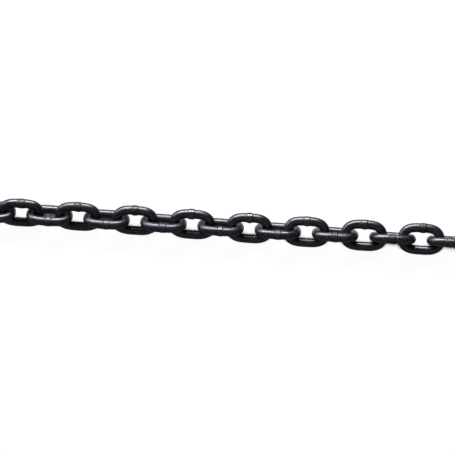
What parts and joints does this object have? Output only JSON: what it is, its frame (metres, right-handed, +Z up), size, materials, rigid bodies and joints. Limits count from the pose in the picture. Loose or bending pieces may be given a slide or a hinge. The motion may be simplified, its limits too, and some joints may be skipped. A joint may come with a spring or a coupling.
{
  "type": "lifting chain",
  "caption": "Straight run of black welded short-link steel lifting chain, cut to one metre, with links that swing on each other.",
  "frame": {"origin": "under the middle of the run, on the floor: the bottom centre of the bounding box", "axes": "+X along the chain, +Z up, +Y square to both"},
  "size_m": [1.0256, 0.0435, 0.0414],
  "materials": {
    "black_steel": "blackened by heat treatment and lightly oiled, semi-gloss"
  },
  "bodies": {
    "link_01": {"link_01": "black_steel"},
    "link_02": {"link_02": "black_steel"},
    "link_03": {"link_03": "black_steel"},
    "link_04": {"link_04": "black_steel"},
    "link_05": {"link_05": "black_steel"},
    "link_06": {"link_06": "black_steel"},
    "link_07": {"link_07": "black_steel"},
    "link_08": {"link_08": "black_steel"},
    "link_09": {"link_09": "black_steel"},
    "link_10": {"link_10": "black_steel"},
    "link_11": {"link_11": "black_steel"},
    "link_12": {"link_12": "black_steel"},
    "link_13": {"link_13": "black_steel"},
    "link_14": {"link_14": "black_steel"},
    "link_15": {"link_15": "black_steel"},
    "link_16": {"link_16": "black_steel"},
    "link_17": {"link_17": "black_steel"},
    "link_18": {"link_18": "black_steel"},
    "link_19": {"link_19": "black_steel"},
    "link_20": {"link_20": "black_steel"},
    "link_21": {"link_21": "black_steel"},
    "link_22": {"link_22": "black_steel"},
    "link_23": {"link_23": "black_steel"},
    "link_24": {"link_24": "black_steel"},
    "link_25": {"link_25": "black_steel"}
  },
  "joints": [
    {"name": "link_01_swing", "type": "hinge", "parent": "link_02", "child": "link_01", "pos_m": [-0.4665, 0, 0.01944], "axis": [-0.0005, 0.8988, -0.4384], "range_deg": [-90, 90]},
    {"name": "link_02_swing", "type": "hinge", "parent": "link_03", "child": "link_02", "pos_m": [-0.4265, 0, 0.01934], "axis": [-0.0023, -0.4579, -0.889], "range_deg": [-90, 90]},
    {"name": "link_03_swing", "type": "hinge", "parent": "link_04", "child": "link_03", "pos_m": [-0.3865, 0, 0.01923], "axis": [0.0013, -0.8788, 0.4772], "range_deg": [-90, 90]},
    {"name": "link_04_swing", "type": "hinge", "parent": "link_05", "child": "link_04", "pos_m": [-0.3465, 0, 0.01912], "axis": [0.0026, 0.4962, 0.8682], "range_deg": [-90, 90]},
    {"name": "link_05_swing", "type": "hinge", "parent": "link_06", "child": "link_05", "pos_m": [-0.3065, 0, 0.01896], "axis": [-0.0022, 0.8572, -0.515], "range_deg": [-90, 90]},
    {"name": "link_06_swing", "type": "hinge", "parent": "link_07", "child": "link_06", "pos_m": [-0.2665, 0, 0.01873], "axis": [-0.0048, -0.5446, -0.8387], "range_deg": [-90, 90]},
    {"name": "link_07_swing", "type": "hinge", "parent": "link_08", "child": "link_07", "pos_m": [-0.2265, 0, 0.01849], "axis": [0.0036, -0.8191, 0.5736], "range_deg": [-90, 90]},
    {"name": "link_08_swing", "type": "hinge", "parent": "link_09", "child": "link_08", "pos_m": [-0.1865, 0, 0.01821], "axis": [0.0054, 0.6018, 0.7986], "range_deg": [-90, 90]},
    {"name": "link_09_swing", "type": "hinge", "parent": "link_10", "child": "link_09", "pos_m": [-0.1465, 0, 0.01797], "axis": [-0.0037, 0.7771, -0.6293], "range_deg": [-90, 90]},
    {"name": "link_10_swing", "type": "hinge", "parent": "link_11", "child": "link_10", "pos_m": [-0.1065, 0, 0.01778], "axis": [-0.0035, -0.6455, -0.7638], "range_deg": [-90, 90]},
    {"name": "link_11_swing", "type": "hinge", "parent": "link_12", "child": "link_11", "pos_m": [-0.0665, 0, 0.01759], "axis": [0.0032, -0.7501, 0.6613], "range_deg": [-90, 90]},
    {"name": "link_12_swing", "type": "hinge", "parent": "link_13", "child": "link_12", "pos_m": [-0.0265, 0, 0.0174], "axis": [0.0037, 0.6769, 0.7361], "range_deg": [-90, 90]},
    {"name": "link_14_swing", "type": "hinge", "parent": "link_13", "child": "link_14", "pos_m": [0.0265, 0, 0.01712], "axis": [0.0023, -0.7071, -0.7071], "range_deg": [-90, 90]},
    {"name": "link_15_swing", "type": "hinge", "parent": "link_14", "child": "link_15", "pos_m": [0.0665, 0, 0.01731], "axis": [0.0084, 0.6723, -0.7402], "range_deg": [-90, 90]},
    {"name": "link_16_swing", "type": "hinge", "parent": "link_15", "child": "link_16", "pos_m": [0.1065, 0, 0.01781], "axis": [-0.0081, 0.7716, 0.6361], "range_deg": [-90, 90]},
    {"name": "link_17_swing", "type": "hinge", "parent": "link_16", "child": "link_17", "pos_m": [0.1465, 0, 0.01833], "axis": [-0.011, -0.5771, 0.8166], "range_deg": [-90, 90]},
    {"name": "link_18_swing", "type": "hinge", "parent": "link_17", "child": "link_18", "pos_m": [0.1865, 0, 0.01887], "axis": [0.0035, -0.8572, -0.515], "range_deg": [-90, 90]},
    {"name": "link_19_swing", "type": "hinge", "parent": "link_18", "child": "link_19", "pos_m": [0.2265, 0, 0.0191], "axis": [0.0012, 0.5065, -0.8623], "range_deg": [-90, 90]},
    {"name": "link_20_swing", "type": "hinge", "parent": "link_19", "child": "link_20", "pos_m": [0.2665, 0, 0.01913], "axis": [-0.0007, 0.8673, 0.4978], "range_deg": [-90, 90]},
    {"name": "link_21_swing", "type": "hinge", "parent": "link_20", "child": "link_21", "pos_m": [0.3065, 0, 0.01918], "axis": [-0.0012, -0.4892, 0.8722], "range_deg": [-90, 90]},
    {"name": "link_22_swing", "type": "hinge", "parent": "link_21", "child": "link_22", "pos_m": [0.3465, 0, 0.01923], "axis": [0.0006, -0.877, -0.4804], "range_deg": [-90, 90]},
    {"name": "link_23_swing", "type": "hinge", "parent": "link_22", "child": "link_23", "pos_m": [0.3865, 0, 0.01928], "axis": [0.0011, 0.4717, -0.8818], "range_deg": [-90, 90]},
    {"name": "link_24_swing", "type": "hinge", "parent": "link_23", "child": "link_24", "pos_m": [0.4265, 0, 0.01933], "axis": [-0.0005, 0.8864, 0.4629], "range_deg": [-90, 90]},
    {"name": "link_25_swing", "type": "hinge", "parent": "link_24", "child": "link_25", "pos_m": [0.4665, 0, 0.01938], "axis": [-0.0005, -0.454, 0.891], "range_deg": [-90, 90]}
  ]
}
